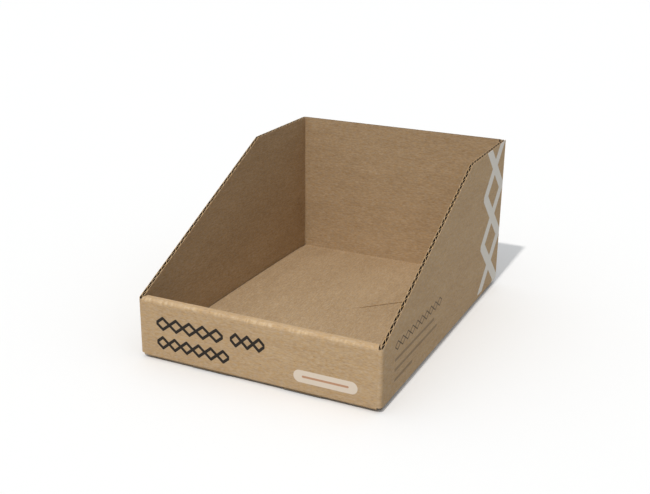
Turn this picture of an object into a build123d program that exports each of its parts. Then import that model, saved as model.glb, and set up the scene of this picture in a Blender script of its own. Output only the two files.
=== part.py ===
from build123d import *
import os

# Counter display tray, folded from one die-cut blank of corrugated board.
# X runs across the tray, Y from the low front lip to the back wall, Z up.
# The origin is on the table, under the middle of the tray.

# Driving dimensions, in millimetres
width = 190.0            # outside, left to right
depth = 265.0            # outside, front to back
height = 128.3           # top of the back wall above the table
side_start = 46.3        # height where the side walls begin at the front fold
flat_length = 90.0       # level top of a side wall, measured from the back
board = 2.7              # thickness of the board
fold_radius = 2.4        # outside of a fold
inner_radius = 0.5       # inside of a fold

# Flutes, open along the cut top edges
flute_pitch = 6.4
flute_depth = 6.0        # how far an open flute is cut into the edge
flute_ends = 7.0         # plain stretch of edge beside each corner
liner = 0.35             # facing on each side of the flutes
medium = 0.25            # fluted sheet between the facings
flute_foot = 0.37        # half width of a flute at its open side, of its pitch
flute_crest = 0.13       # half width at its narrow side, of its pitch

# Base flaps
base_lift = 1.8          # underside of the base folds above the table
crushed = 1.0            # board left in a side flap's crease
dip_run = 12.0           # a side flap reaches the table this far in
ramp_run = 22.0          # a main flap's first, steeper climb from its fold
ramp_rise = 1.1
arch_run = 95.0          # a main flap is level from here on
arch_rise = 1.7
flap_gap = 0.6           # main flap to side wall
side_flap_depth = 62.0   # side flap, from the wall's inner face
side_flap_inset = 35.0   # start of a side flap, from the outer corner
side_flap_bevel = 15.0   # its ends leave the fold at 45 degrees
crease_width = 1.4       # 45 degree crease of a glued corner
crease_depth = 0.6       # pressed into the underside
seam_shift = 6.5         # each main flap passes the middle by this much in Y
seam_gap = 0.4
tongue_width = 26.0      # tucked end of a main flap, measured in X
tongue_reach = 24.0      # how far it passes under the other flap, in Y
tongue_root = 5.0        # step from the upper to the lower layer, in Y

# Rolled front lip
lip_depth = 8.0          # top of the lip, front to back
lip_crown = 1.5          # how far the lip stands above the side walls' start
lip_taper = 1.9          # each end of the lip narrows towards its rear fold
lip_end_gap = 0.3
foot_gap = 0.3           # inner panel to outer panel and to the floor
slot_width = 31.0
slot_spacing = 74.0
slot_rise = 1.0          # part of a slot that reaches up the front wall
slot_clearance = 0.5     # tab to slot, on each side
tab_setback = 1.0        # end of a tab behind the outer face

# Glued side seam at the back right corner
seam_flap_width = 34.0
seam_flap_bevel = 8.0
seam_flap_drop = 4.0     # below the top edge of the wall
seam_flap_floor_gap = 2.0
seam_groove = 0.3        # open joint beside the raw end of the right wall

relief_radius = 2.9      # hole punched where the folds of a corner meet

# Places worked out from the sizes above
half_width = width / 2
front = -depth / 2
back = depth / 2
inner_half = half_width - board
inner_front = front + board
inner_back = back - board
base_top = base_lift + board
slope_end = back - flat_length
lip_top = side_start + lip_crown
lip_half = inner_half - lip_end_gap
arch_under = base_lift + arch_rise
floor_top = arch_under + board
foot_height = base_top + foot_gap
above = height + board
turned = (Location((0, 0, 0)), Location((0, 0, 0), (0, 0, 180)))


def base_line(offset):
    """Underside of the base from its front fold to its back fold, raised by offset."""
    half = [
        (front + fold_radius, base_lift + offset),
        (front + ramp_run, base_lift + ramp_rise + offset),
        (front + arch_run, arch_under + offset),
    ]
    return half + [(-y, z) for y, z in reversed(half)]


# Air in the flutes: each one widens towards the outer or the inner facing in turn
with BuildPart() as flutes:
    foot = flute_foot * flute_pitch
    crest = flute_crest * flute_pitch
    half_pitch = flute_pitch / 2
    side_count = int((depth - 2 * flute_ends) / flute_pitch)
    back_count = int((width - 2 * flute_ends) / flute_pitch)
    with BuildSketch(Plane.XY):
        rows = (
            (Location((half_width, 0, 0), (0, 0, 90)), side_count),
            (Location((-half_width, 0, 0), (0, 0, -90)), side_count),
            (Location((0, back, 0), (0, 0, 180)), back_count),
        )
        for row, count in rows:
            with Locations(row):
                with GridLocations(flute_pitch, 0, count, 1):
                    Polygon(
                        (-foot - half_pitch / 2, liner),
                        (foot - half_pitch / 2, liner),
                        (crest - half_pitch / 2, board - liner - medium),
                        (-crest - half_pitch / 2, board - liner - medium),
                        align=None,
                    )
                    Polygon(
                        (-foot + half_pitch / 2, board - liner),
                        (foot + half_pitch / 2, board - liner),
                        (crest + half_pitch / 2, liner + medium),
                        (-crest + half_pitch / 2, liner + medium),
                        align=None,
                    )
    extrude(amount=above)
    with BuildSketch(Plane.YZ):
        with BuildLine():
            Polyline(
                (front, side_start - flute_depth),
                (slope_end, height - flute_depth),
                (back, height - flute_depth),
                (back, above),
                (front, above),
                close=True,
            )
        make_face()
    extrude(amount=width, both=True, mode=Mode.INTERSECT)

# Four walls in one ring, folded at the corners
with BuildPart() as walls:
    with BuildSketch(Plane.XY.offset(base_lift)):
        Rectangle(width, depth)
    extrude(amount=height - base_lift)
    corners = walls.edges().filter_by(Axis.Z).sort_by(Axis.X)
    fillet(corners[:2] + [corners[2:].sort_by(Axis.Y)[0]], fold_radius)
    fillet(walls.faces().sort_by(Axis.Z)[0].edges(), fold_radius)
    with BuildSketch(Plane.XY.offset(base_lift)):
        RectangleRounded(2 * inner_half, depth - 2 * board, inner_radius)
    extrude(amount=height, mode=Mode.SUBTRACT)
    # side walls fall in a straight line from their level stretch to the front fold
    with BuildSketch(Plane.YZ):
        with BuildLine():
            Polyline(
                (front - board, side_start),
                (front, side_start),
                (slope_end, height),
                (slope_end, above),
                (front - board, above),
                close=True,
            )
        make_face()
    extrude(amount=width, both=True, mode=Mode.SUBTRACT)
    # the back wall folds inwards beside the raw end of the right wall
    with BuildSketch(Plane.XY.offset(base_lift)):
        with BuildLine():
            fold_start = (inner_half - fold_radius, back)
            fold_end = (inner_half, back - fold_radius)
            TangentArc(fold_start, fold_end, tangent=(1, 0))
            Polyline(
                fold_end,
                (inner_half + seam_groove, back - fold_radius),
                (inner_half + seam_groove, back),
                fold_start,
            )
        make_face()
    extrude(amount=height, mode=Mode.SUBTRACT)
    add(flutes.part, mode=Mode.SUBTRACT)

# Glue flap of the side seam, inside the right wall
with BuildPart() as seam_flap:
    flap_low = floor_top + seam_flap_floor_gap
    flap_high = height - seam_flap_drop
    with BuildSketch(Plane.YZ.offset(inner_half - board)):
        with BuildLine():
            Polyline(
                (inner_back, flap_low),
                (inner_back, flap_high),
                (inner_back - seam_flap_width, flap_high - seam_flap_bevel),
                (inner_back - seam_flap_width, flap_low + seam_flap_bevel),
                close=True,
            )
        make_face()
    extrude(amount=board)

# Main flaps of the base, folded from the front and the back wall
with BuildPart() as main_flaps:
    with BuildSketch(Plane.YZ):
        with BuildLine():
            Polyline(*base_line(0), *reversed(base_line(board)), close=True)
        make_face()
    extrude(amount=inner_half - flap_gap, both=True)
    # each flap passes the middle on one side, so the seam jogs there
    with BuildSketch(Plane.XY):
        with BuildLine():
            Polyline(
                (width, width - seam_shift),
                (seam_shift / 2, -seam_shift / 2),
                (-seam_shift / 2, seam_shift / 2),
                (-width, seam_shift - width),
            )
        trace(line_width=seam_gap)
    extrude(amount=floor_top + board, mode=Mode.SUBTRACT)

# Tucked ends of the main flaps, each under the other flap
with BuildPart() as tongues:
    root_start = -seam_shift / 2 - tongue_root
    root_end = tongue_width - seam_shift - tongue_root
    with BuildSketch(Plane.XY):
        with Locations(*turned):
            Polygon(
                (seam_shift / 2, root_start),
                (tongue_width, root_end),
                (tongue_width, root_end + tongue_reach / 2),
                (tongue_width / 2, root_end + tongue_reach),
                (seam_shift / 2, root_start + tongue_reach),
                align=None,
            )
    extrude(amount=board)
    with BuildSketch(Plane.XY.offset(board)):
        with Locations(*turned):
            Polygon(
                (seam_shift / 2, root_start),
                (tongue_width, root_end),
                (tongue_width, root_end + tongue_root - seam_gap),
                (seam_shift / 2, root_start + tongue_root - seam_gap),
                align=None,
            )
    extrude(amount=arch_under - board)

# Side flaps of the base, under the main flaps
with BuildPart() as side_flaps:
    flap_edge = inner_half - side_flap_depth
    flap_start = depth / 2 - side_flap_inset
    flap_end = flap_start + side_flap_bevel
    bevel_edge = inner_half - side_flap_bevel
    cut_back = flap_end - (bevel_edge - flap_edge)
    with BuildSketch(Plane.XZ):
        with BuildLine():
            Polyline(
                (half_width - fold_radius, base_lift),
                (half_width - dip_run, 0),
                (flap_edge, 0),
                (flap_edge, board),
                (half_width - dip_run, board),
                (inner_half, base_lift + crushed),
                (half_width - fold_radius, base_lift + crushed),
                close=True,
            )
        make_face()
    extrude(amount=depth / 2, both=True)
    with BuildSketch(Plane.XY):
        Polygon(
            (half_width, -flap_start),
            (half_width, flap_start),
            (inner_half, flap_start),
            (bevel_edge, flap_end),
            (flap_edge, cut_back),
            (flap_edge, -flap_end),
            (bevel_edge, -flap_end),
            (inner_half, -flap_start),
            align=None,
        )
    extrude(amount=floor_top, mode=Mode.INTERSECT)
    # 45 degree crease, and past it the corner glued to the front flap
    glued_edge = bevel_edge - crease_width
    with BuildSketch(Plane.XY):
        with BuildLine():
            Line(
                (bevel_edge, -flap_end - crease_width / 2),
                (flap_edge - crease_width / 2, -flap_end + glued_edge - flap_edge + crease_width),
            )
        trace(line_width=crease_width)
    extrude(amount=crease_depth, mode=Mode.SUBTRACT)
    with BuildSketch(Plane.XY.offset(board)):
        Polygon(
            (glued_edge, -flap_end),
            (flap_edge, -flap_end),
            (flap_edge, -flap_end + glued_edge - flap_edge),
            align=None,
        )
    extrude(amount=arch_under - board)

# Front lip: rolled over towards the inside, down to an inner panel with two tabs
with BuildPart() as lip:
    panel_foot = inner_front + foot_gap
    lip_back = front + lip_depth
    with BuildSketch(Plane.YZ) as lip_section:
        with BuildLine():
            Polyline(
                (front, side_start - fold_radius),
                (front, lip_top),
                (lip_back, lip_top),
                (panel_foot + board, foot_height),
                (panel_foot, foot_height),
                (lip_back - board, lip_top - board),
                (inner_front, lip_top - board),
                (inner_front, side_start - fold_radius),
                close=True,
            )
        make_face()
        fillet(lip_section.vertices().group_by(Axis.Y)[-1], fold_radius)
    extrude(amount=lip_half, both=True)
    # the ends taper from the front fold to the rear fold
    with BuildSketch(Plane.XY):
        Polygon(
            (-lip_half, front - board),
            (-lip_half, front),
            (-lip_half + lip_taper, lip_back),
            (-lip_half + lip_taper, lip_back + board),
            (lip_half - lip_taper, lip_back + board),
            (lip_half - lip_taper, lip_back),
            (lip_half, front),
            (lip_half, front - board),
            align=None,
        )
    extrude(amount=above, mode=Mode.INTERSECT)
    # each tab bends forward into its slot
    with BuildSketch(Plane.YZ) as tab_section:
        slot_top = base_lift + slot_rise
        Polygon(
            (panel_foot, foot_height),
            (panel_foot, slot_top),
            (front + tab_setback, base_lift),
            (front + tab_setback + board, base_lift),
            (panel_foot + board, slot_top),
            (panel_foot + board, foot_height),
            align=None,
        )
    with Locations((-slot_spacing / 2, 0, 0), (slot_spacing / 2, 0, 0)):
        add(extrude(tab_section.sketch, amount=slot_width / 2 - slot_clearance, both=True, mode=Mode.PRIVATE))

# The whole tray, one folded sheet
with BuildPart() as display_box:
    add(walls.part)
    add(seam_flap.part)
    add(main_flaps.part)
    add(tongues.part)
    with Locations(*turned):
        add(side_flaps.part)
    # slots across the front fold of the base
    slot_back = panel_foot + board + slot_clearance
    with Locations((-slot_spacing / 2, 0, 0), (slot_spacing / 2, 0, 0)):
        with Locations((0, front, slot_top)):
            Box(
                slot_width,
                2 * board,
                2 * slot_top,
                align=(Align.CENTER, Align.CENTER, Align.MAX),
                mode=Mode.SUBTRACT,
            )
        with Locations((0, slot_back, foot_height)):
            Box(
                slot_width,
                slot_back - inner_front,
                2 * foot_height,
                align=(Align.CENTER, Align.MAX, Align.MAX),
                mode=Mode.SUBTRACT,
            )
    # hole where the folds of each bottom corner meet
    with Locations((0, 0, base_lift + board / 2)):
        with GridLocations(width - board, depth - board, 2, 2):
            Sphere(relief_radius, mode=Mode.SUBTRACT)
    add(lip.part)

display_box.part.label = "display_box"
os.makedirs("parts", exist_ok=True)
export_step(display_box.part, "parts/display_box.step")
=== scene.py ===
"""A folding display box of brown corrugated board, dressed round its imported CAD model.

The board is made as the real one is: two facings of kraft paper with a fluted sheet between
them, folded from one blank. Each stretch of the blank is a grid of points, with the flutes one
after another across its columns and the folds along its rows.
"""
import math

import bpy
import numpy as np
from mathutils import Matrix, Vector


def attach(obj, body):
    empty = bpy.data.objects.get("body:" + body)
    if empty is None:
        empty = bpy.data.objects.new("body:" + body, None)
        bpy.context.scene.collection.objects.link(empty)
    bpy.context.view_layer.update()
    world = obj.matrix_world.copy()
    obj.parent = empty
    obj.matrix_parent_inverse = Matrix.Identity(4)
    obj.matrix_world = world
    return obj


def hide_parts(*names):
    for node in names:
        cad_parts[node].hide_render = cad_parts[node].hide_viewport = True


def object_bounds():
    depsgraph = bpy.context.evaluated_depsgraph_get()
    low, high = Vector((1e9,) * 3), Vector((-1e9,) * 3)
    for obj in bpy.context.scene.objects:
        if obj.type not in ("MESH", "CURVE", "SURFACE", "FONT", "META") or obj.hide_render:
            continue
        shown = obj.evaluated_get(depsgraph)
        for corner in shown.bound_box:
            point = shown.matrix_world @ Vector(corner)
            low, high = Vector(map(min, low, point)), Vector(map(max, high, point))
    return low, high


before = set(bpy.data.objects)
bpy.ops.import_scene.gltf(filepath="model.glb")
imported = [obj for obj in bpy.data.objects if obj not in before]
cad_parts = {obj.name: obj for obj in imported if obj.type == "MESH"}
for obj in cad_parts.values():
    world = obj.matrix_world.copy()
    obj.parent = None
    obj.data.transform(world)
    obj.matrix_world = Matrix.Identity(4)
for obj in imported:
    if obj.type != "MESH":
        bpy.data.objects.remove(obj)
cad_low, cad_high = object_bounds()

MM = 0.001

# Sizes of the folded box, in metres
WIDTH = cad_high.x - cad_low.x
DEPTH = cad_high.y - cad_low.y
HEIGHT = cad_high.z - cad_low.z
BOARD = 2.7 * MM
FOLD = 2.4 * MM                 # outside radius of a fold
CREASE = 0.25 * MM              # inside radius of a fold
SIDE_START = 46.3 * MM          # side walls' height at the front fold
FLAT_LENGTH = 90.0 * MM         # level top of a side wall

# The board
FLUTE = 6.4 * MM                # from one flute to the next
FACING = 0.34 * MM              # paper on each side
MEDIUM = 0.42 * MM              # fluted sheet between them
WALL_STEPS = 12                 # columns to a flute on walls and lip
BASE_STEPS = 6                  # and on the flaps of the base
ARC_POINTS = 6                  # rows inside a rounded fold
WALL_ROWS, SEAM_FLAP_ROWS, BASE_ROWS = 7, 4, 9
TOUCH = 0.001 * MM              # a point this near to a face lies on it
SHARP_ANGLE = math.radians(35)  # faces that meet at more than this show an edge

# Corners of the walls
CORNER_REACH = 1.6 * FOLD       # a crease ends this far along a wall from its sharp corner
CORNER_HIGHLIGHT = 0.3             # share of the painted highlight along its crease, where the lip's fold has 1
CORNER_CRUSH = 0.15             # share of the flutes' height that it flattens
CUT_FOLD = 70, 50, 25, 0        # degrees turned, row by row, where a bottom fold is cut open

# Base
LIFT = 1.8 * MM                 # underside of the base's folds above the table
JOIN = 2.0 * MM                 # side and back walls begin this far above their bottom fold
RAMP_RUN, RAMP_RISE = 22.0 * MM, 1.1 * MM       # this far in, a main flap has risen this much
ARCH_RUN, ARCH_RISE = 95.0 * MM, 1.7 * MM       # and from here on it is level
FLAP_GAP = 0.6 * MM             # between a main flap's ends and the side walls
SEAM_SHIFT, SEAM_GAP = 6.5 * MM, 0.15 * MM      # from the diagonal along Y, and between the flaps
SEAM_STEP = 0.5 * MM            # back flap above the front one on the right, below it on the left
STEP_START, STEP_FULL = SEAM_SHIFT, 4 * SEAM_SHIFT      # X between which that step grows
STEP_RUN = 40.0 * MM            # and how far from the seam it begins
NOTCH = 3.0 * MM                # folds end this far from a bottom corner
CROWDING = 1.3                  # power that draws a main flap's rows towards its fold
NOTCH_BLEND = 4                 # power of the shift from the back fold's columns to its flap's

# Side flaps and tucked ends of the base
CRUSHED = 1.0 * MM              # board left in a side flap's fold
DIP_RUN = 12.0 * MM             # it is down on the table this far from its wall's outer face
SIDE_FLAP_DEPTH = 62.0 * MM
SIDE_FLAP_INSET = 35.0 * MM     # its fold ends this far from the box's corners
SIDE_FLAP_BEVEL = 15.0 * MM     # each end widens by this much at 45 degrees
BLUNT = 0.2 * MM                # cut off a side flap's pointed end
TONGUE_WIDTH, TONGUE_REACH, TONGUE_ROOT = 26.0 * MM, 24.0 * MM, 5.0 * MM

# Rolled lip
LIP_DEPTH = 8.0 * MM
LIP_CROWN = 1.5 * MM            # its top above the side walls' height at the front fold
LIP_END_GAP = 0.3 * MM          # between its ends and the side walls
LIP_TAPER = 1.9 * MM            # each end draws in this much towards the back
TAPER_RUN = 12.0 * MM           # and this stretch beside the end takes it up
PLEAT, PLEAT_REACH = 0.5 * MM, 2.0 * MM     # hollows between the flutes on its front fold
LEAST_PLEAT, PLEAT_SEED = 0.3, 7            # the shallowest one's share of that depth
FOLD_HIGHLIGHT_REACH = 1.3 * MM         # painted highlights, pale spots along that fold
FOOT_GAP = 0.3 * MM             # before and below the inner panel's foot
SLOT_WIDTH, SLOT_SPACING = 31.0 * MM, 74.0 * MM
SLOT_RISE = 1.0 * MM            # the slots' reach up the front wall
SLOT_CLEARANCE = 0.5 * MM
TAB_SETBACK = 1.0 * MM          # a tab's tip behind the front wall's face
TAB_ROWS = 2

# Glue flap of the side seam
SEAM_FLAP_WIDTH, SEAM_FLAP_BEVEL = 34.0 * MM, 8.0 * MM
SEAM_FLAP_DROP, SEAM_FLAP_LIFT = 4.0 * MM, 2.0 * MM     # below the wall's top, above the floor
GLUE_LINE = 0.05 * MM

# Places worked out from the sizes
HALF = WIDTH / 2
FRONT, BACK = -DEPTH / 2, DEPTH / 2
INNER = HALF - BOARD
SLOPE_END = BACK - FLAT_LENGTH
LIP_TOP = SIDE_START + LIP_CROWN
LIP_HALF = INNER - LIP_END_GAP
LIP_BACK = FRONT + LIP_DEPTH
PANEL_FOOT = FRONT + BOARD + FOOT_GAP
FOOT_HEIGHT = LIFT + BOARD + FOOT_GAP
SLOT_TOP = LIFT + SLOT_RISE
SLOT_BACK = PANEL_FOOT + BOARD + SLOT_CLEARANCE
JOIN_HEIGHT = LIFT + FOLD + JOIN
FLOOR_UNDER = LIFT + ARCH_RISE
FLOOR_TOP = FLOOR_UNDER + BOARD
FLOOR_HALF = INNER - FLAP_GAP

OUTSIDE, INSIDE, EDGE, HOLLOW, PRINTED_FRONT, PRINTED_SIDE = range(6)


# Lines

def spread(start, end, step, marks=()):
    """Places from start to end about a step apart, with each mark among them.

    A mark takes the place of any that are nearer to it than a third of a step.
    """
    low, high = min(start, end), max(start, end)
    even = np.linspace(low, high, max(2, int(round((high - low) / step)) + 1))
    marks = np.array([m for m in marks if low < m < high])
    if len(marks):
        near = np.abs(even[:, None] - marks[None, :]).min(axis=1) < step / 3
        near[[0, -1]] = False
        even = np.sort(np.concatenate([even[~near], marks]))
    return even if end > start else even[::-1]


def folded(corners, radii, shares):
    """A line through corners, each inner corner rounded to its radius.

    A straight stretch has points at the given shares of its length. A rounding begins and ends
    its radius times the tangent of half the turn from the corner, and its points turn evenly
    about its centre. A corner of radius zero is a single point.
    """
    corners = np.array(corners, float)
    ways = np.diff(corners, axis=0)
    ways /= np.linalg.norm(ways, axis=1, keepdims=True)
    starts, ends, arcs = [corners[0]], [], []
    for before, after, corner, radius in zip(ways, ways[1:], corners[1:], radii):
        turn = math.atan2(before[0] * after[1] - before[1] * after[0], before @ after)
        reach = radius * math.tan(abs(turn) / 2)
        side = math.copysign(1.0, turn)
        first = corner - before * reach
        centre = first + side * radius * np.array([-before[1], before[0]])
        angles = np.linspace(0, turn, ARC_POINTS + 2)[1:-1, None]
        spoke = first - centre
        across = np.array([-spoke[1], spoke[0]])
        arcs.append(centre + spoke * np.cos(angles) + across * np.sin(angles))
        ends.append(first)
        starts.append(corner + after * reach)
    ends.append(corners[-1])
    line = []
    for k, (start, end, share) in enumerate(zip(starts, ends, shares)):
        share = np.asarray(share, float)[:, None]
        if k and not radii[k - 1]:
            share = share[1:]
        line.append(start + share * (end - start))
        if k < len(radii) and radii[k]:
            line.append(arcs[k])
    return np.concatenate(line)


def run_of(line):
    """Distance along a line of points, the lengths of its steps summed up to each."""
    steps = np.linalg.norm(np.diff(line, axis=0), axis=1)
    return np.concatenate([[0.0], np.cumsum(steps)])


def smooth_step(value, low, high):
    """0 below low, 1 above high, and three t squared less two t cubed between them."""
    t = np.clip((value - low) / (high - low), 0, 1)
    return t * t * (3 - 2 * t)


def between(values):
    """The middle of each value and its next."""
    return (values[1:] + values[:-1]) / 2


def bell(distance, reach):
    """A column of weights: e to the minus square of distance over reach."""
    return np.exp(-(distance / reach) ** 2)[:, None]


def floor_rise(y):
    """Underside of a main flap: a ramp from its fold, then a slower one, then level."""
    inwards = DEPTH / 2 - np.abs(y)
    return np.interp(inwards, [FOLD, RAMP_RUN, ARCH_RUN], [LIFT, LIFT + RAMP_RISE, FLOOR_UNDER])


def seam_line(x):
    """Y of the base's seam: x less its shift on the right, x plus it on the left, and a jog at
    right angles between them."""
    jog = np.abs(x) < SEAM_SHIFT / 2
    return np.where(jog, -x, x - np.sign(x) * SEAM_SHIFT)


def wall_top(y):
    """Height of a side wall: a straight slope from the front fold, then level to the back."""
    return np.interp(y, [FRONT, SLOPE_END], [SIDE_START, HEIGHT])


# Board

class Sheet:
    """Quads with material numbers, paper coordinates and shares of fold, for one object."""

    def __init__(self):
        self.points, self.quads, self.looks, self.paper = [], [], [], []
        self.count = 0

    def add(self, points, quads, looks, paper):
        self.points.append(points)
        self.quads.append(quads + self.count)
        self.looks.append(looks)
        self.paper.append(paper)
        self.count += len(points)


def layer(sheet, outer, inner, paper, cells, looks):
    """A closed layer between two grids of points, wherever cells is true.

    Each true cell gives a quad on the outer and one on the inner grid. Each side of a cell with
    no true cell beyond it gives a rim quad between the grids. looks holds the material numbers
    of outer side, inner side and rim.
    """
    rows, columns = outer.shape[:2]
    at = np.arange(rows * columns).reshape(rows, columns)
    below = rows * columns
    quads, kinds = [], []

    def gather(corners, kind):
        quads.append(np.stack(corners, axis=-1))
        kinds.append(np.full(len(quads[-1]), kind))

    i, j = np.nonzero(cells)
    ring = [at[i, j], at[i + 1, j], at[i + 1, j + 1], at[i, j + 1]]
    gather(ring, looks[0])
    gather([corner + below for corner in ring[::-1]], looks[1])
    around = np.pad(cells, 1)
    rims = (
        (around[1:, 1:-1] & ~around[:-1, 1:-1], (0, 0), (0, 1)),
        (around[:-1, 1:-1] & ~around[1:, 1:-1], (0, 1), (0, 0)),
        (around[1:-1, 1:] & ~around[1:-1, :-1], (1, 0), (0, 0)),
        (around[1:-1, :-1] & ~around[1:-1, 1:], (0, 0), (1, 0)),
    )
    for open_sides, first, second in rims:
        i, j = np.nonzero(open_sides)
        a, b = at[i + first[0], j + first[1]], at[i + second[0], j + second[1]]
        gather([a, b, b + below, a + below], looks[2])
    quads, kinds = np.concatenate(quads), np.concatenate(kinds)
    facing = np.cross(outer[1:, :-1] - outer[:-1, :-1], outer[:-1, 1:] - outer[:-1, :-1])
    if np.sum(facing * (outer - inner)[:-1, :-1]) < 0:
        quads = quads[:, ::-1]
    both = np.concatenate([outer.reshape(-1, 3), inner.reshape(-1, 3)])
    sheet.add(both, quads, kinds, np.tile(paper.reshape(-1, 3), (2, 1)))


def corrugate(sheet, outer, inner, across, paper, cells, crush=1.0, outside=OUTSIDE):
    """Two facings and the fluted sheet between them, from the board's outer and inner side.

    The fluted sheet's share of the thickness is a half plus a cosine of the distance across
    the flutes. crush, below one where the board is creased, flattens the cosine.
    """
    facing, medium = FACING / BOARD, MEDIUM / BOARD
    swing = 0.5 - facing - medium / 2
    middle = 0.5 + swing * crush * np.cos(2 * np.pi * across / FLUTE)
    middle = np.broadcast_to(middle, outer.shape[:2])

    def level(share):
        return inner + np.asarray(share)[..., None] * (outer - inner)

    layer(sheet, outer, level(1 - facing), paper, cells, (outside, HOLLOW, EDGE))
    layer(sheet, level(facing), inner, paper, cells, (HOLLOW, INSIDE, EDGE))
    top, bottom = level(middle + medium / 2), level(middle - medium / 2)
    layer(sheet, top, bottom, paper, cells, (HOLLOW, HOLLOW, EDGE))


def grid(x, y, z):
    """Stacks coordinate arrays, spread to one shape, as points."""
    return np.stack(np.broadcast_arrays(x, y, z), axis=-1)


def on_paper(u, v, fold=0.0):
    """Stacks two paper coordinates and the share of fold, spread to one shape."""
    return grid(u, v, fold)


def all_cells(points):
    """Every cell of a grid of points."""
    return np.ones((points.shape[0] - 1, points.shape[1] - 1), bool)


def half_turn(turned, *grids):
    """The grids as they are or, where turned is true, half round the box's upright axis."""
    return [points * [-1, -1, 1] if turned else points for points in grids]


def wall_band(sheet, outer_line, inner_line, start, corner_line, outside):
    """Upright board along a plan line, from its bottom fold up to its cut top edge.

    The lowest rows belong to the ends of a side wall, where it has no flap: they turn in as the
    fold beside them does, and stop at a cut edge. The next one up also belongs to the corners,
    down to their notch. Every other row stands at an even share of the way from the joint with
    the base to the top. A corner's crease is a smooth step of the distance from its sharp
    corner, along both walls.
    """
    x, y = outer_line.T
    run = start + run_of(outer_line)
    shares = np.linspace(0, 1, WALL_ROWS)[:, None]
    walls = JOIN_HEIGHT + shares * (wall_top(y) - JOIN_HEIGHT)
    turns = np.radians(CUT_FOLD)[:, None]
    folds = np.repeat(LIFT + FOLD * (1 - np.sin(turns)), len(x), axis=1)
    height = np.concatenate([folds, walls])
    drawn = np.zeros_like(height)
    sides = np.where(np.abs(x) > HALF - TOUCH, np.sign(x), 0)
    drawn[:len(turns)] = FOLD * (1 - np.cos(turns)) * sides
    outer = grid(x - drawn, y, height)
    inner = grid(*inner_line.T, height)
    away = (HALF - np.abs(corner_line[:, 0])) + (DEPTH / 2 - np.abs(corner_line[:, 1]))
    at_corner = between(away) < NOTCH
    middle_x, middle_y = np.abs(between(outer_line)).T
    no_flap = (middle_x > HALF - TOUCH) & (middle_y > DEPTH / 2 - SIDE_FLAP_INSET)
    cells = all_cells(height)
    cells[:len(turns) - 1] = no_flap & ~at_corner
    cells[len(turns) - 1] = no_flap | at_corner
    crease = smooth_step(CORNER_REACH - away, 0, FOLD)
    # the corner's crease carries a weaker painted highlight
    paper = on_paper(run, height, CORNER_HIGHLIGHT * crease)
    corrugate(sheet, outer, inner, run, paper, cells, 1 - CORNER_CRUSH * crease, outside)


def left_and_back():
    """The back wall with its glue flap, and the left wall round to the front lip.

    Their plan is a line with rounded corners. The glue flap goes on straight from its start,
    inside the right wall, and draws in by its bevel above and below.
    """
    step = FLUTE / WALL_STEPS
    glued = INNER - GLUE_LINE
    across, along = WIDTH - 2 * FOLD, DEPTH - 2 * FOLD
    notch = NOTCH - FOLD
    shares = (
        [0],
        spread(0, 1, step / across, [1 - notch / across]),
        spread(0, 1, step / along, [
            notch / along, (SIDE_FLAP_INSET - FOLD) / along, (FLAT_LENGTH - FOLD) / along,
            1 - (SIDE_FLAP_INSET - FOLD) / along, 1 - notch / along,
        ]),
        [0, 1],
    )
    outer_line = folded(
        [(glued, BACK - FOLD), (glued, BACK), (-HALF, BACK), (-HALF, FRONT), (-LIP_HALF, FRONT)],
        (FOLD,) * 3, shares,
    )
    inner_line = folded(
        [(glued - BOARD, BACK - BOARD - CREASE), (glued - BOARD, BACK - BOARD),
         (-INNER, BACK - BOARD), (-INNER, FRONT + BOARD), (-LIP_HALF, FRONT + BOARD)],
        (CREASE,) * 3, shares,
    )
    sheet = Sheet()
    corner_line = outer_line.copy()
    corner_line[corner_line[:, 0] > 0, 0] += HALF - glued
    wall_band(sheet, outer_line, inner_line, 0.0, corner_line, OUTSIDE)

    # the glue flap goes on from the back wall's first column
    places = spread(0, 1, step / SEAM_FLAP_WIDTH)
    far = BACK - BOARD - SEAM_FLAP_WIDTH
    outer_y = outer_line[0, 1] + places * (far - outer_line[0, 1])
    inner_y = inner_line[0, 1] + places * (far - inner_line[0, 1])
    low = FLOOR_TOP + SEAM_FLAP_LIFT + SEAM_FLAP_BEVEL * places
    high = HEIGHT - SEAM_FLAP_DROP - SEAM_FLAP_BEVEL * places
    height = low + np.linspace(0, 1, SEAM_FLAP_ROWS)[:, None] * (high - low)
    run = outer_y - outer_line[0, 1]
    corrugate(
        sheet, grid(outer_line[0, 0], outer_y, height), grid(inner_line[0, 0], inner_y, height),
        run, on_paper(run, height), all_cells(height),
    )
    return sheet


def right_wall():
    """The right wall, from the front lip to its raw end at the back.

    Its plan is a line with one rounded corner.
    """
    along = DEPTH - FOLD
    marks = [
        (NOTCH - FOLD) / along, (SIDE_FLAP_INSET - FOLD) / along, 1 - FLAT_LENGTH / along,
        1 - SIDE_FLAP_INSET / along, 1 - NOTCH / along,
    ]
    shares = ([0, 1], spread(0, 1, FLUTE / WALL_STEPS / along, marks))
    outer_line = folded([(LIP_HALF, FRONT), (HALF, FRONT), (HALF, BACK)], (FOLD,), shares)
    inner_line = folded(
        [(LIP_HALF, FRONT + BOARD), (INNER, FRONT + BOARD), (INNER, BACK)], (CREASE,), shares
    )
    sheet = Sheet()
    wall_band(sheet, outer_line, inner_line, 2 * LIP_HALF, outer_line, PRINTED_SIDE)
    return sheet


def pleats(across):
    """How far the facing sinks between the flutes where it is rolled: a half less half a
    cosine across each flute, times an amount drawn for each hollow."""
    hollow = 0.5 - 0.5 * np.cos(2 * np.pi * across / FLUTE)
    number = (across / FLUTE).astype(int)
    amounts = np.random.default_rng(PLEAT_SEED).uniform(LEAST_PLEAT, 1.0, number.max() + 1)
    return PLEAT * hollow * amounts[number]


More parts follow.
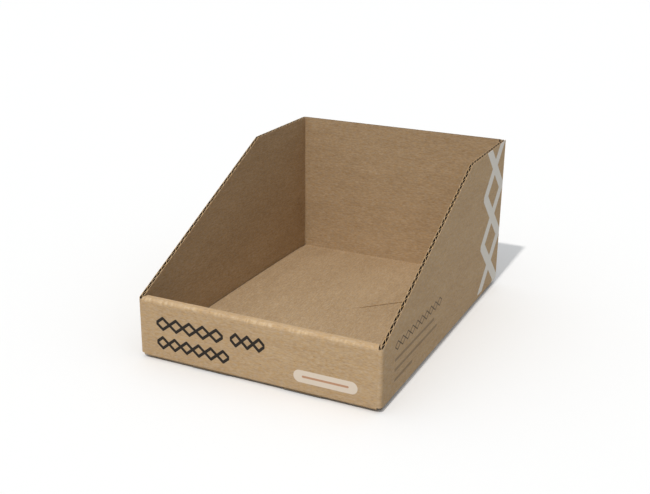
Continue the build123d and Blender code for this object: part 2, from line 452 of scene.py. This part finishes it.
def lip_columns(places, half_ends):
    """X of the front's columns, row by row: over its last stretch a row draws in to its own
    end, in step with distance."""
    drawn = LIP_HALF - half_ends[:, None]
    share = np.clip((np.abs(places) - LIP_HALF + TAPER_RUN) / TAPER_RUN, 0, 1)
    return places - np.sign(places) * drawn * share


def front_and_lip():
    """Tabs, inner panel, rolled lip and front wall, down round the front fold of the base.

    A profile with rounded folds is carried along X, and its ends draw in towards the lip's
    back. The tabs are the cells that are kept in its first rows, and the slots are left out.
    """
    marks = [
        side * SLOT_SPACING / 2 + edge * (SLOT_WIDTH / 2 - room)
        for side in (-1, 1) for edge in (-1, 1) for room in (0, SLOT_CLEARANCE)
    ]
    places = spread(-LIP_HALF, LIP_HALF, FLUTE / WALL_STEPS, marks)
    # rows of the tabs' tip and root, the inner panel, the lip's top, the front wall, crowded
    # below the lip where the pleats are, and the base
    shares = ([0, 1], [0, 1], [0, 0.4, 0.8, 1], [0, 0.5, 1], [0, 0.03, 0.07, 0.4, 0.7, 1], [0, 1])
    outer_line = folded(
        [(FRONT + TAB_SETBACK + BOARD, LIFT), (PANEL_FOOT + BOARD, SLOT_TOP),
         (PANEL_FOOT + BOARD, FOOT_HEIGHT), (LIP_BACK, LIP_TOP), (FRONT, LIP_TOP), (FRONT, LIFT),
         (SLOT_BACK, floor_rise(SLOT_BACK))],
        (0, 0, FOLD, FOLD, FOLD), shares,
    )
    inner_line = folded(
        [(FRONT + TAB_SETBACK, LIFT), (PANEL_FOOT, SLOT_TOP), (PANEL_FOOT, FOOT_HEIGHT),
         (LIP_BACK - BOARD, LIP_TOP - BOARD), (FRONT + BOARD, LIP_TOP - BOARD),
         (FRONT + BOARD, LIFT + BOARD), (SLOT_BACK, floor_rise(SLOT_BACK) + BOARD)],
        (0, 0, CREASE, CREASE, CREASE), shares,
    )
    run = run_of(outer_line)
    base_rows = np.arange(len(run)) >= len(run) - 2 - ARC_POINTS

    def board_side(line):
        """One side of the board: the lip's ends taper inwards, and the base is narrower."""
        inwards = line[:, 0] - FRONT
        tapered = LIP_HALF - LIP_TAPER * np.clip(inwards / LIP_DEPTH, 0, 1)
        floor = LIP_HALF - (LIP_HALF - FLOOR_HALF) * np.clip(inwards / FOLD, 0, 1)
        half_ends = np.where(base_rows, floor, tapered)
        return grid(lip_columns(places, half_ends), line[:, :1], line[:, 1:])

    outer, inner = board_side(outer_line), board_side(inner_line)
    across = places + LIP_HALF
    # from the fold's sharp corner, less what its rounding takes off
    from_fold = np.linalg.norm(outer_line - [FRONT, LIP_TOP], axis=1) - (math.sqrt(2) - 1) * FOLD
    bent = bell(from_fold, PLEAT_REACH)[..., None]
    outer += pleats(across)[:, None] * bent * (inner - outer) / BOARD
    from_slot = np.abs(np.abs(between(places)) - SLOT_SPACING / 2)
    cells = all_cells(outer)
    cells[:TAB_ROWS] = from_slot < SLOT_WIDTH / 2 - SLOT_CLEARANCE
    slot_rows = between(outer_line[:, 1]) < SLOT_TOP
    slot_rows[:TAB_ROWS] = False
    cells[slot_rows] &= from_slot > SLOT_WIDTH / 2
    sheet = Sheet()
    # the third paper coordinate sets the painted highlight along the lip's front fold
    paper = on_paper(across, -run[:, None], bell(from_fold, FOLD_HIGHLIGHT_REACH))
    corrugate(sheet, outer, inner, across, paper, cells, 1.0, PRINTED_FRONT)
    return sheet


def back_fold(places):
    """Outer and inner side of the back wall's bottom fold, before the flap is turned half round.

    It ends the notch short of each corner, and the board's thickness more at the side seam,
    which is on the left here. Its columns shift from there to the flap's own X by a power of
    the share of its rows.
    """
    left, right = -(INNER - NOTCH), HALF - NOTCH
    at_wall = left + (places + FLOOR_HALF) / (2 * FLOOR_HALF) * (right - left)
    sides = []
    for face, under, radius in ((FRONT, LIFT, FOLD), (FRONT + BOARD, LIFT + BOARD, CREASE)):
        line = folded(
            [(face, JOIN_HEIGHT), (face, under), (face + radius, under)], (radius,), ([0, 1], [0]))
        blend = np.linspace(0, 1, len(line))[:, None] ** NOTCH_BLEND
        x = at_wall + blend * (places - at_wall)
        sides.append(grid(x, line[:, :1], line[:, 1:])[:-1])
    return sides


def main_flap(turned):
    """A main flap of the base up to the 45 degree seam, the back one with its bottom fold.

    Columns keep their X, so the flutes run straight, and each one's rows are spread between
    the fold and the seam. The back flap is the same shape turned half round.
    """
    places = spread(-FLOOR_HALF, FLOOR_HALF, FLUTE / BASE_STEPS, [-SEAM_SHIFT / 2, SEAM_SHIFT / 2])
    start = FRONT + FOLD if turned else SLOT_BACK
    end = seam_line(places) - SEAM_GAP * math.sqrt(0.5)
    shares = np.linspace(0, 1, BASE_ROWS)[:, None] ** CROWDING
    y = start + shares * (end - start)
    step = SEAM_STEP / 2 * smooth_step(np.abs(places), STEP_START, STEP_FULL) * -np.sign(places)
    outer = grid(places, y, floor_rise(y) + step * smooth_step(y, end - STEP_RUN, end))
    inner = outer + [0, 0, BOARD]
    if turned:
        inner[0, :, 1] = FRONT + BOARD + CREASE
        outer, inner = map(np.concatenate, zip(back_fold(places), (outer, inner)))
    outer, inner = half_turn(turned, outer, inner)
    sheet = Sheet()
    fall = outer[..., 1] + np.sign(outer[..., 1]) * (outer[..., 2] - FLOOR_UNDER)
    corrugate(sheet, outer, inner, outer[..., 0], on_paper(fall, outer[..., 0]), all_cells(outer))
    return sheet


def side_flap(turned):
    """A side flap of the base, from its wall's bottom fold down to the table.

    Columns keep their Y. Its near edge leaves the fold at 45 degrees at both ends, and its far
    edge is cut back at 45 degrees at the end that isn't glued.
    """
    flap_edge = INNER - SIDE_FLAP_DEPTH
    flap_start = DEPTH / 2 - SIDE_FLAP_INSET
    flap_end = flap_start + SIDE_FLAP_BEVEL
    cut_back = flap_end - (SIDE_FLAP_DEPTH - SIDE_FLAP_BEVEL)
    places = spread(
        -flap_end, flap_end - BLUNT, FLUTE / BASE_STEPS, [-flap_start, flap_start, cut_back])
    bevel = np.maximum(np.abs(places) - flap_start, 0)
    far = flap_edge + np.maximum(places - cut_back, 0)
    shares = np.array([0, 0.1, 0.2, 0.45, 0.7, 1])[:, None]     # rows crowd towards the fold
    sides = []
    for face, under, radius, table in (
        (HALF, LIFT, FOLD, 0), (INNER, LIFT + CRUSHED, CREASE, BOARD),
    ):
        fold_end = face - radius
        line = folded(
            [(face, JOIN_HEIGHT), (face, under), (fold_end, under)], (radius,), ([0, 1], [0]))[:-1]
        near = np.where(bevel > 0, INNER - bevel, fold_end)
        x = near + shares * (far - near)
        z = np.interp(x, [HALF - DIP_RUN, fold_end], [table, under])
        sides.append(np.concatenate([grid(line[:, :1], places, line[:, 1:]), grid(x, places, z)]))
    outer, inner = half_turn(turned, *sides)
    cells = all_cells(outer)
    cells[:len(line)] = np.abs(between(places)) < flap_start
    sheet = Sheet()
    fall = outer[..., 0] + np.sign(outer[..., 0]) * outer[..., 2]
    corrugate(sheet, outer, inner, outer[..., 1], on_paper(fall, outer[..., 1]), cells)
    return sheet


def tucked_end(turned):
    """The end of a main flap that passes under the other one.

    It starts under its own flap and is down on the table at the seam, by a smooth step. Its
    far edge is two straight lines that meet halfway across, where it reaches farthest.
    """
    places = spread(SEAM_SHIFT / 2, TONGUE_WIDTH, FLUTE / BASE_STEPS, [TONGUE_WIDTH / 2])
    root = places - SEAM_SHIFT - TONGUE_ROOT
    reach = np.interp(
        places, [SEAM_SHIFT / 2, TONGUE_WIDTH / 2, TONGUE_WIDTH],
        [root[0] + TONGUE_REACH, root[-1] + TONGUE_REACH, root[-1] + TONGUE_REACH / 2],
    )
    y = root + np.array([0, 0.1, 0.25, 0.6, 1])[:, None] * (reach - root)
    z = (FLOOR_UNDER - BOARD) * (1 - smooth_step(y - root, 0, TONGUE_ROOT))
    outer = grid(places, y, z)
    outer, inner = half_turn(turned, outer, outer + [0, 0, BOARD])
    sheet = Sheet()
    paper = on_paper(outer[..., 1], outer[..., 0])
    corrugate(sheet, outer, inner, outer[..., 0], paper, all_cells(outer))
    return sheet


def put_in_scene(name, sheet, materials):
    """Makes a sheet's object, its paper coordinates a UV map and its fold an attribute."""
    points, quads = np.concatenate(sheet.points), np.concatenate(sheet.quads)
    looks, paper = np.concatenate(sheet.looks), np.concatenate(sheet.paper)
    used, quads = np.unique(quads, return_inverse=True)
    quads = quads.reshape(-1, 4)
    points, paper = points[used], paper[used]
    mesh = bpy.data.meshes.new(name)
    mesh.vertices.add(len(points))
    mesh.vertices.foreach_set("co", points.astype(np.float32).ravel())
    mesh.loops.add(quads.size)
    mesh.loops.foreach_set("vertex_index", quads.astype(np.int32).ravel())
    mesh.polygons.add(len(quads))
    mesh.polygons.foreach_set("loop_start", np.arange(0, quads.size, 4, dtype=np.int32))
    mesh.polygons.foreach_set("loop_total", np.full(len(quads), 4, np.int32))
    for material in materials:
        mesh.materials.append(material)
    mesh.polygons.foreach_set("material_index", looks.astype(np.int32))
    mesh.polygons.foreach_set("use_smooth", np.ones(len(quads), bool))
    mesh.update(calc_edges=True)
    fold = mesh.attributes.new("fold", "FLOAT", "POINT")
    fold.data.foreach_set("value", paper[:, 2].astype(np.float32))
    flat = mesh.uv_layers.new(name="paper")
    flat.data.foreach_set("uv", paper[quads.ravel(), :2].astype(np.float32).ravel())
    mesh.set_sharp_from_angle(angle=SHARP_ANGLE)
    mesh.validate()
    piece = bpy.data.objects.new(name, mesh)
    bpy.context.scene.collection.objects.link(piece)
    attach(piece, "root")
    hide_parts("display_box")


# Materials

# Colours of the paper: its own, its shade and its light
KRAFT = (0.515, 0.354, 0.201), (0.33, 0.205, 0.105), (0.66, 0.49, 0.30)
# The inside's kraft is the outside's made about a fifth darker: painted shade for the box's
# inside.
INSIDE_KRAFT_PAINTED_SHADE = (0.412, 0.287, 0.166), (0.278, 0.178, 0.093), (0.555, 0.404, 0.252)
CUT = (0.50, 0.335, 0.18), (0.36, 0.225, 0.11), (0.64, 0.46, 0.27)
# The hollows inside the board, the facings' inner sides and the fluted sheet, are kraft painted
# near black: painted shade in the flutes' voids.
FLUTE_PAINTED_SHADE = (0.085, 0.058, 0.038), (0.06, 0.04, 0.025), (0.12, 0.085, 0.055)
INNER_CONTRAST = 1.35
DARK_INK, BROWN_INK = (0.014, 0.012, 0.011), (0.48, 0.21, 0.09)
PALE_INK, WHITE_INK = (0.81, 0.70, 0.58), (0.86, 0.825, 0.755)

# Length along the grain and width across it of the paper's marks
FIBRE, FINE_FIBRE = (7.0 * MM, 1.3 * MM), (2.6 * MM, 0.6 * MM)
PATCH, CLOUD, FLECK = (26 * MM, 7 * MM), (90 * MM, 40 * MM), (2.4 * MM, 1.0 * MM)
WARM_SPOT = (3.4 * MM, 1.7 * MM)
# pale spots of painted highlight along folds, and the bunches they come in
PALE_SPOT, SPOT_BUNCH = (2.4 * MM, 60 * MM), (15 * MM, 60 * MM)
WARMTH = 0.75                   # swing of saturation between warm and grey spots
FOLD_HIGHLIGHT = 0.72                   # how light the painted highlights along a full fold are
FLECK_DARKNESS = 0.8
SMOOTHEST, ROUGHER = 0.74, 0.14     # least roughness, and what the long fibres add to it
RELIEF, RELIEF_STRENGTH = 0.06 * MM, 0.25
LONG_RELIEF, FINE_RELIEF = 0.7, 0.3     # shares of the relief that long and fine fibres have
SHEEN = 0.25                    # specular level

# The print. Places along and up a wall are in millimetres
INK_EDGE = 0.1 * MM             # over which a print's edge fades
PRINT_DEPTH = 1.0 * MM          # only paper within this of the outer face is printed
FRONT_ROWS = (                  # start, end, low, high and number of diamonds
    (-80.1, -24.5, 25.2, 36.0, 5),
    (-19.0, 8.5, 25.2, 36.0, 3),
    (-80.1, -19.8, 10.4, 20.8, 6),
)
ROW_STROKE, ROW_MARGIN = 2.2, 1.0       # margin from a row's edge to the middle of its lines
LABEL, LABEL_BAR = (30.6, 78.2, 10.1, 19.3), (37.0, 71.8, 13.9, 15.5)   # start, end, low, high
SMALL_START, HEADING_END = -109.7, -16.6
HEADING_HEIGHT, HEADING_DIAMONDS, HEADING_HALF_WIDTH, HEADING_STROKE = 39.0, 10, 3.2, 0.9
SMALL_LINES = (-31.8, 28.1, 30.3), (-25.2, 20.7, 22.9), (-75.5, 13.2, 15.4)     # end, low, high
BROAD_PLACE, BROAD_START, BROAD_END = 105.8, -15.0, 200.0
BROAD_LENGTH, BROAD_HALF_WIDTH, BROAD_STROKE = 42.0, 22.3, 9.6
ROW_COVER, LABEL_COVER, LABEL_BAR_COVER = 0.98, 0.9, 0.8        # share of the paper that inks hide
HEADING_COVER, SMALL_COVER, BROAD_COVER = 0.75, 0.38, 0.9


class Nodes:
    """A node tree that nodes are added to, with their inputs given as values or as sockets."""

    def __init__(self, tree):
        self.tree = tree
        tree.nodes.clear()

    def add(self, kind, inputs=None, **settings):
        node = self.tree.nodes.new(kind)
        for name, value in settings.items():
            setattr(node, name, value)
        for key, value in (inputs or {}).items():
            if isinstance(value, bpy.types.NodeSocket):
                self.tree.links.new(value, node.inputs[key])
            else:
                node.inputs[key].default_value = value
        return node

    def math(self, operation, *values, clamp=False):
        inputs = dict(enumerate(values))
        return self.add("ShaderNodeMath", inputs, operation=operation, use_clamp=clamp).outputs[0]

    def product(self, first, *others):
        for other in others:
            first = self.math("MULTIPLY", first, other)
        return first

    def beyond(self, value, edge, rise):
        """The value less the edge, times the rise, kept from 0 to 1."""
        return self.math("MULTIPLY", self.math("SUBTRACT", value, edge), rise, clamp=True)

    def inked(self, inside):
        """1 inside an outline, 0 outside and a half on it, from the distance inside."""
        return self.math("MULTIPLY_ADD", inside, 1 / INK_EDGE, 0.5, clamp=True)

    def mix(self, factor, first, second):
        """Two colours mixed, each of them a socket or three numbers."""
        first, second = (
            colour if isinstance(colour, bpy.types.NodeSocket) else (*colour, 1.0)
            for colour in (first, second)
        )
        inputs = {"Factor": factor, 6: first, 7: second}
        return self.add("ShaderNodeMix", inputs, data_type="RGBA").outputs[2]

    def noise(self, vector, size, detail=2.0, roughness=0.5, distortion=0.0):
        """Noise whose patches are size = (length, width) in metres of the paper."""
        scale = (1 / size[0], 1 / size[1], 1)
        mapping = self.add("ShaderNodeMapping", {"Vector": vector, "Scale": scale})
        node = self.add("ShaderNodeTexNoise", {
            "Vector": mapping.outputs[0], "Scale": 1.0, "Detail": detail, "Roughness": roughness,
            "Distortion": distortion,
        }, noise_dimensions="3D")
        return node.outputs["Fac"]

    def place(self, kind):
        """X, Y and Z of one kind of texture coordinate."""
        coordinates = self.add("ShaderNodeTexCoord").outputs[kind]
        return self.add("ShaderNodeSeparateXYZ", {0: coordinates}).outputs

    def group(self, group, **values):
        """Outputs of a group placed with these inputs, named with underscores for spaces."""
        inputs = {name.replace("_", " "): value for name, value in values.items()}
        return self.add("ShaderNodeGroup", inputs, node_tree=group).outputs


def new_group(name, inputs, outputs):
    """A shader node group with its sockets, and the Nodes that fill it."""
    group = bpy.data.node_groups.new(name, "ShaderNodeTree")
    kinds = {"vector": "NodeSocketVector", "colour": "NodeSocketColor", "value": "NodeSocketFloat"}
    nodes = Nodes(group)
    for direction, sockets in (("INPUT", inputs), ("OUTPUT", outputs)):
        for socket, kind in sockets.items():
            group.interface.new_socket(socket, in_out=direction, socket_type=kinds[kind])
    entry = nodes.add("NodeGroupInput").outputs
    return group, nodes, entry


def kraft_group():
    """Kraft paper: long fibres, fine fibres, cloudy patches, a few dark flecks, warmer and
    greyer spots, and painted highlights: pale spots along a fold, where light catches the paper
    rolled over the flutes.

    The tone is a weighted sum of the noises, each less its middle. Below zero it leads from the
    paper's colour to its shade, and above zero to its light. Flecks and the painted highlights add
    to the two, and the relief is mostly long fibres.
    """
    group, nodes, entry = new_group(
        "kraft fibres and painted highlights",
        {"Paper": "vector", "Colour": "colour", "Shade": "colour", "Light": "colour",
         "Contrast": "value", "Fold": "value"},
        {"Colour": "colour", "Roughness": "value", "Height": "value"},
    )
    paper = entry["Paper"]
    fibres = nodes.noise(paper, FIBRE, detail=3.0, roughness=0.6, distortion=0.5)
    fine = nodes.noise(paper, FINE_FIBRE, roughness=0.6, distortion=0.4)
    patches = nodes.noise(paper, PATCH, distortion=0.3)
    clouds = nodes.noise(paper, CLOUD, detail=1.0)
    flecks = nodes.beyond(nodes.noise(paper, FLECK, detail=0.0), edge=0.76, rise=10.0)
    spots = nodes.noise(paper, PALE_SPOT, detail=1.0, roughness=0.6)
    spots = nodes.beyond(spots, edge=0.40, rise=5.0)
    bunches = nodes.beyond(nodes.noise(paper, SPOT_BUNCH, detail=0.0), edge=0.36, rise=5.0)
    warmth = nodes.noise(paper, WARM_SPOT, detail=3.0, roughness=0.6)
    tone = 0.0
    for noise, weight in ((fibres, 1.3), (fine, 1.7), (patches, 0.5), (clouds, 0.4)):
        tone = nodes.math("MULTIPLY_ADD", nodes.math("SUBTRACT", noise, 0.5), weight, tone)
    tone = nodes.product(tone, entry["Contrast"])
    down = nodes.math("MULTIPLY", tone, -1.0, clamp=True)
    down = nodes.math("MULTIPLY_ADD", flecks, FLECK_DARKNESS, down, clamp=True)
    # painted highlights: pale spots along folds, lighter where light catches the rolled paper
    painted_highlight = nodes.product(spots, bunches, nodes.product(entry["Fold"], FOLD_HIGHLIGHT))
    up = nodes.math("ADD", nodes.math("MAXIMUM", tone, 0.0), painted_highlight, clamp=True)
    colour = nodes.mix(up, nodes.mix(down, entry["Colour"], entry["Shade"]), entry["Light"])
    saturation = nodes.math("MULTIPLY_ADD", nodes.math("SUBTRACT", warmth, 0.5), WARMTH, 1.0)
    warmed = nodes.add("ShaderNodeHueSaturation", {"Saturation": saturation, "Color": colour})
    rough = nodes.math("MULTIPLY_ADD", fibres, ROUGHER, SMOOTHEST)
    height = nodes.math(
        "ADD", nodes.product(fibres, LONG_RELIEF), nodes.product(fine, FINE_RELIEF))
    nodes.add("NodeGroupOutput", {
        "Colour": warmed.outputs[0], "Roughness": rough, "Height": height})
    return group


def bar_group():
    """A bar with round ends: inside where the distance to its middle line is under half its
    height."""
    names = ("Along", "Up", "Start", "End", "Low", "High")
    group, nodes, entry = new_group(
        "round ended bar", dict.fromkeys(names, "value"), {"Mask": "value"})

    def half_of(operation, first, second):
        return nodes.product(nodes.math(operation, entry[first], entry[second]), 0.5)

    half = half_of("SUBTRACT", "High", "Low")
    reach = nodes.math("SUBTRACT", half_of("SUBTRACT", "End", "Start"), half)
    off_centre = nodes.math("SUBTRACT", entry["Along"], half_of("ADD", "Start", "End"))
    past = nodes.math("SUBTRACT", nodes.math("ABSOLUTE", off_centre), reach)
    past = nodes.math("MAXIMUM", past, 0.0)
    away = nodes.math("SUBTRACT", entry["Up"], half_of("ADD", "High", "Low"))
    squares = nodes.math("ADD", nodes.product(past, past), nodes.product(away, away))
    inside = nodes.math("SUBTRACT", half, nodes.math("SQRT", squares))
    nodes.add("NodeGroupOutput", {"Mask": nodes.inked(inside)})
    return group


def chain_group():
    """A chain of diamond outlines, point to point.

    Along the chain a line zigzags between its middle and its edge, and its mirror image
    completes the diamonds. The mask is one where the nearer line is under half a stroke away.
    """
    names = ("Along", "Off middle", "Start", "End", "Length", "Half width", "Stroke")
    group, nodes, entry = new_group(
        "chain of diamonds", dict.fromkeys(names, "value"), {"Mask": "value"})
    half_length = nodes.product(entry["Length"], 0.5)
    half_stroke = nodes.product(entry["Stroke"], 0.5)
    from_start = nodes.math("SUBTRACT", entry["Along"], entry["Start"])
    slope = nodes.math("DIVIDE", entry["Half width"], half_length)
    zigzag = nodes.product(slope, nodes.math("PINGPONG", from_start, half_length))
    from_middle = nodes.math("ABSOLUTE", entry["Off middle"])
    off = nodes.math("ABSOLUTE", nodes.math("SUBTRACT", from_middle, zigzag))
    lean = nodes.math("SQRT", nodes.math("MULTIPLY_ADD", slope, slope, 1.0))
    inside = nodes.math("SUBTRACT", half_stroke, nodes.math("DIVIDE", off, lean))
    mask = nodes.product(
        nodes.inked(inside),
        nodes.math("GREATER_THAN", entry["Along"], entry["Start"]),
        nodes.math("LESS_THAN", entry["Along"], entry["End"]),
        nodes.math("LESS_THAN", from_middle, nodes.math("ADD", entry["Half width"], half_stroke)),
    )
    nodes.add("NodeGroupOutput", {"Mask": mask})
    return group


def bar_mask(nodes, bar, along, up, start, end, low, high):
    """Where a bar lies, from its ends and edges in millimetres."""
    return nodes.group(
        bar, Along=along, Up=up, Start=start * MM, End=end * MM, Low=low * MM, High=high * MM,
    )["Mask"]


def chain_mask(nodes, chain, along, across, middle, start, end, length, half_width, stroke):
    """Where a chain of diamonds lies, from its sizes in millimetres."""
    return nodes.group(
        chain, Along=along, Off_middle=nodes.math("SUBTRACT", across, middle * MM),
        Start=start * MM, End=end * MM, Length=length * MM, Half_width=half_width * MM,
        Stroke=stroke * MM,
    )["Mask"]


def front_printing(bar, chain):
    """Two dark rows of diamonds, and a pale label with a brown bar."""
    def lay(nodes, paper):
        place = nodes.place("Object")
        rows = 0.0
        for start, end, low, high, number in FRONT_ROWS:
            row = chain_mask(
                nodes, chain, place["X"], place["Z"], (low + high) / 2, start, end,
                (end - start) / number, (high - low) / 2 - ROW_MARGIN, ROW_STROKE)
            rows = nodes.math("MAXIMUM", row, rows)
        label = bar_mask(nodes, bar, place["X"], place["Z"], *LABEL)
        line = bar_mask(nodes, bar, place["X"], place["Z"], *LABEL_BAR)
        face = nodes.math("LESS_THAN", place["Y"], FRONT + PRINT_DEPTH)
        colour = nodes.mix(nodes.product(rows, face, ROW_COVER), paper, DARK_INK)
        colour = nodes.mix(nodes.product(label, face, LABEL_COVER), colour, PALE_INK)
        return nodes.mix(nodes.product(line, face, LABEL_BAR_COVER), colour, BROWN_INK)
    return lay


def side_printing(bar, chain):
    """A heading of small dark diamonds over three thin lines, and a broad pale chain of
    diamonds up the wall's back end."""
    def lay(nodes, paper):
        place = nodes.place("Object")
        heading = chain_mask(
            nodes, chain, place["Y"], place["Z"], HEADING_HEIGHT, SMALL_START, HEADING_END,
            (HEADING_END - SMALL_START) / HEADING_DIAMONDS, HEADING_HALF_WIDTH, HEADING_STROKE)
        lines = 0.0
        for end, low, high in SMALL_LINES:
            line = bar_mask(nodes, bar, place["Y"], place["Z"], SMALL_START, end, low, high)
            lines = nodes.math("MAXIMUM", line, lines)
        broad = chain_mask(
            nodes, chain, place["Z"], place["Y"], BROAD_PLACE, BROAD_START, BROAD_END,
            BROAD_LENGTH, BROAD_HALF_WIDTH, BROAD_STROKE)
        face = nodes.math("GREATER_THAN", place["X"], HALF - PRINT_DEPTH)
        small = nodes.math(
            "MAXIMUM", nodes.product(heading, HEADING_COVER), nodes.product(lines, SMALL_COVER))
        colour = nodes.mix(nodes.product(small, face), paper, DARK_INK)
        return nodes.mix(nodes.product(broad, face, BROAD_COVER), colour, WHITE_INK)
    return lay


def kraft_material(name, kraft, colours, contrast=1.0, offset=(0, 0, 0), printing=None):
    """Kraft paper on the piece's paper coordinates, with any printing laid over its colour."""
    material = bpy.data.materials.new(name)
    material.use_nodes = True
    nodes = Nodes(material.node_tree)
    paper = nodes.add("ShaderNodeUVMap", uv_map="paper").outputs[0]
    paper = nodes.add("ShaderNodeMapping", {"Vector": paper, "Location": offset}).outputs[0]
    # the share of fold sets the painted highlight along folds
    fold = nodes.add("ShaderNodeAttribute", attribute_name="fold").outputs["Fac"]
    own, shade, light = ((*colour, 1.0) for colour in colours)
    fibres = nodes.group(
        kraft, Paper=paper, Colour=own, Shade=shade, Light=light, Contrast=contrast, Fold=fold)
    surface = printing(nodes, fibres["Colour"]) if printing else fibres["Colour"]
    bump = nodes.add("ShaderNodeBump", {
        "Height": fibres["Height"], "Strength": RELIEF_STRENGTH, "Distance": RELIEF})
    shader = nodes.add("ShaderNodeBsdfPrincipled", {
        "Base Color": surface, "Roughness": fibres["Roughness"], "Normal": bump.outputs[0],
        "Specular IOR Level": SHEEN})
    nodes.add("ShaderNodeOutputMaterial", {"Surface": shader.outputs[0]})
    return material


def make_materials():
    """The six materials of the board, in the order of their numbers.

    The inside and the cuts take their marks from other parts of the noise than the outside.
    """
    kraft, bar, chain = kraft_group(), bar_group(), chain_group()
    inner_offset, cut_offset = (0.31, 0.77, 3), (0.13, 0.21, 5)
    return [
        kraft_material("kraft outside", kraft, KRAFT),
        # the inside's kraft, darkened as painted shade
        kraft_material("kraft inside painted shade", kraft, INSIDE_KRAFT_PAINTED_SHADE, INNER_CONTRAST, inner_offset),
        kraft_material("cut edge", kraft, CUT, offset=cut_offset),
        # painted shade in the flutes' hollows
        kraft_material("flute paper painted shade", kraft, FLUTE_PAINTED_SHADE, offset=cut_offset),
        kraft_material("kraft front printed", kraft, KRAFT, printing=front_printing(bar, chain)),
        kraft_material("kraft side printed", kraft, KRAFT, printing=side_printing(bar, chain)),
    ]


# Studio

TABLE_SIZE = 8.0
TABLE_SEEN, TABLE_LIT = (0.93, 0.925, 0.92, 1), (0.52, 0.52, 0.52, 1)
SUN_POWER, SUN_ANGLE, SUN_COLOUR = 1.80, math.radians(2), (1.0, 0.975, 0.94)
SUN_WAY = (0.0, 0.528, -0.665)
DOME_EDGE, DOME_ZENITH, DOME_COLOUR = 0.14, 0.90, (0.965, 1.0, 1.03, 1)
CAMERA_PLACE, CAMERA_TARGET = (0.30526, -0.66566, 0.32353), (0.00707, -0.03503, 0.07147)
CAMERA_ROLL, LENS, SENSOR = math.radians(0.718), 54.572, 36.0
NEAREST, FARTHEST = 0.01, 20


def seen_rays(nodes):
    """1 for the rays of the camera and of what it sees in gloss or through glass, 0 for light."""
    path = nodes.add("ShaderNodeLightPath").outputs
    return nodes.math("MAXIMUM", path["Is Camera Ray"], nodes.math(
        "MAXIMUM", path["Is Glossy Ray"], path["Is Transmission Ray"]))


def table_top():
    """A plain white table, one flat square. It looks whiter than it lights the box."""
    mesh = bpy.data.meshes.new("table")
    half = TABLE_SIZE / 2
    mesh.from_pydata(
        [(-half, -half, 0), (half, -half, 0), (half, half, 0), (-half, half, 0)], [],
        [(0, 1, 2, 3)])
    table = bpy.data.objects.new("table", mesh)
    bpy.context.scene.collection.objects.link(table)
    material = bpy.data.materials.new("table white")
    material.use_nodes = True
    nodes = Nodes(material.node_tree)
    lit = nodes.add("ShaderNodeBsdfDiffuse", {"Color": TABLE_LIT}).outputs[0]
    seen = nodes.add("ShaderNodeBsdfDiffuse", {"Color": TABLE_SEEN}).outputs[0]
    mix = nodes.add("ShaderNodeMixShader", {0: seen_rays(nodes), 1: lit, 2: seen})
    nodes.add("ShaderNodeOutputMaterial", {"Surface": mix.outputs[0]})
    mesh.materials.append(material)


def studio_light():
    """A low sun from the front, and a plain pale dome that is seen as white.

    The dome's strength goes from its edge's to its zenith's in step with height.
    """
    sun = bpy.data.lights.new("front sun", "SUN")
    sun.energy, sun.angle, sun.color = SUN_POWER, SUN_ANGLE, SUN_COLOUR
    lamp = bpy.data.objects.new("front sun", sun)
    lamp.rotation_euler = Vector(SUN_WAY).to_track_quat("-Z", "Y").to_euler()
    bpy.context.scene.collection.objects.link(lamp)
    world = bpy.data.worlds.new("studio")
    bpy.context.scene.world = world
    world.use_nodes = True
    nodes = Nodes(world.node_tree)
    height = nodes.math("MAXIMUM", nodes.place("Generated")["Z"], 0.0)
    strength = nodes.math("MULTIPLY_ADD", height, DOME_ZENITH - DOME_EDGE, DOME_EDGE)
    dome = nodes.add("ShaderNodeBackground", {"Color": DOME_COLOUR, "Strength": strength})
    white = nodes.add("ShaderNodeBackground", {"Color": (1, 1, 1, 1), "Strength": 1.0})
    mix = nodes.add("ShaderNodeMixShader", {
        0: seen_rays(nodes), 1: dome.outputs[0], 2: white.outputs[0]})
    nodes.add("ShaderNodeOutputWorld", {"Surface": mix.outputs[0]})


def camera():
    """The photograph's camera: its place, the point it looks at, its roll and its lens."""
    place = Vector(CAMERA_PLACE)
    back = (place - Vector(CAMERA_TARGET)).normalized()
    right = Vector((0, 0, 1)).cross(back).normalized()
    up = back.cross(right)
    turned_right = math.cos(CAMERA_ROLL) * right + math.sin(CAMERA_ROLL) * up
    turned_up = math.cos(CAMERA_ROLL) * up - math.sin(CAMERA_ROLL) * right
    data = bpy.data.cameras.new("camera")
    data.lens, data.sensor_width, data.sensor_fit = LENS, SENSOR, "HORIZONTAL"
    data.clip_start, data.clip_end = NEAREST, FARTHEST
    lens = bpy.data.objects.new("camera", data)
    lens.matrix_world = Matrix.Translation(place) @ Matrix(
        (turned_right, turned_up, back)).transposed().to_4x4()
    bpy.context.scene.collection.objects.link(lens)
    bpy.context.scene.camera = lens


materials = make_materials()
for name, sheet in (
    ("left_and_back_walls", left_and_back()),
    ("right_wall", right_wall()),
    ("front_and_lip", front_and_lip()),
    ("front_base_flap", main_flap(False)),
    ("back_base_flap", main_flap(True)),
    ("right_base_flap", side_flap(False)),
    ("left_base_flap", side_flap(True)),
    ("front_tucked_end", tucked_end(False)),
    ("back_tucked_end", tucked_end(True)),
):
    put_in_scene(name, sheet, materials)

table_top()
studio_light()
camera()
bpy.context.scene.view_settings.view_transform = "Standard"
